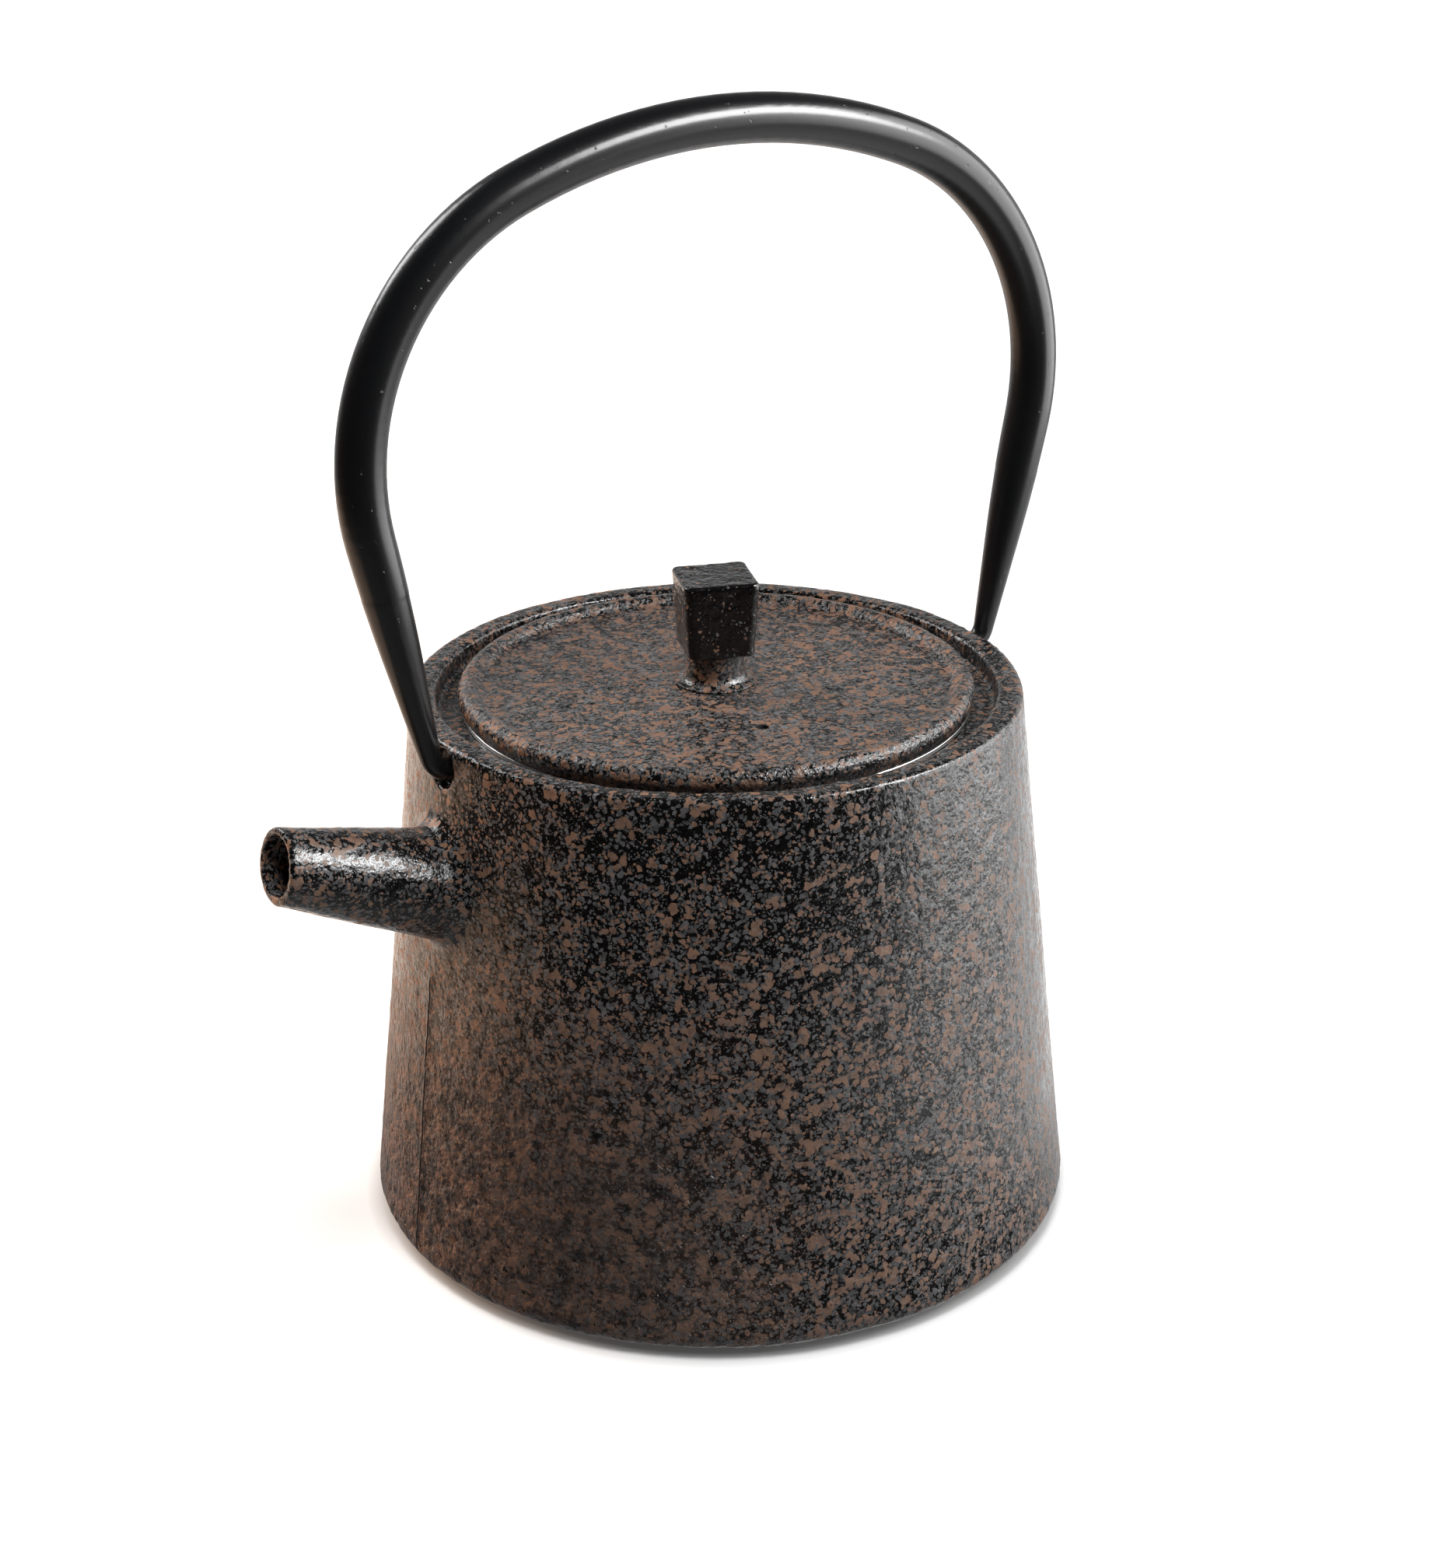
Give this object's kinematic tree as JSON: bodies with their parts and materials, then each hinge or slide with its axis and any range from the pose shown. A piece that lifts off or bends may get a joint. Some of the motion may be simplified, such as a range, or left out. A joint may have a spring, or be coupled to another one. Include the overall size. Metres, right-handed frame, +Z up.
{
  "type": "teapot",
  "caption": "Cast-iron teapot: tapered pot with a straight spout, sunk lid with a block knob, drop-in infuser and a swinging tube bail handle.",
  "frame": {"origin": "centre of the base, on the table", "axes": "+X along the spout, +Z up; the handle's pivots lie on a line along X"},
  "size_m": [0.1778, 0.1432, 0.2228],
  "materials": {
    "pot_enamel": "glossy black enamel densely speckled grey and tan over rough casting",
    "lid_enamel": "the same speckled enamel over a coarser casting",
    "knob_enamel": "the same speckled enamel",
    "plated_steel": "dull plating",
    "infuser_steel": "brushed stainless sheet",
    "bail_black": "satin black"
  },
  "bodies": {
    "pot": {"kettle_body": "pot_enamel"},
    "infuser": {"infuser_collar": "infuser_steel", "infuser_basket": "infuser_steel", "infuser_floor": "infuser_steel"},
    "cover": {"lid": "lid_enamel", "lid_knob": "knob_enamel", "knob_screw": "plated_steel", "knob_washer": "plated_steel"},
    "bail": {"bail_tube": "bail_black", "bail_hook_front": "bail_black", "bail_hook_back": "bail_black"}
  },
  "joints": [
    {"name": "infuser_lift", "type": "slide", "parent": "pot", "child": "infuser", "axis": [0, 0, 1], "range_m": [0, 0.055]},
    {"name": "lid_lift", "type": "slide", "parent": "infuser", "child": "cover", "axis": [0, 0, 1], "range_m": [0, 0.022]},
    {"name": "bail_swing", "type": "hinge", "parent": "pot", "child": "bail", "pos_m": [0, 0, 0.1048], "axis": [1, 0, 0], "range_deg": [-130, 130]}
  ]
}
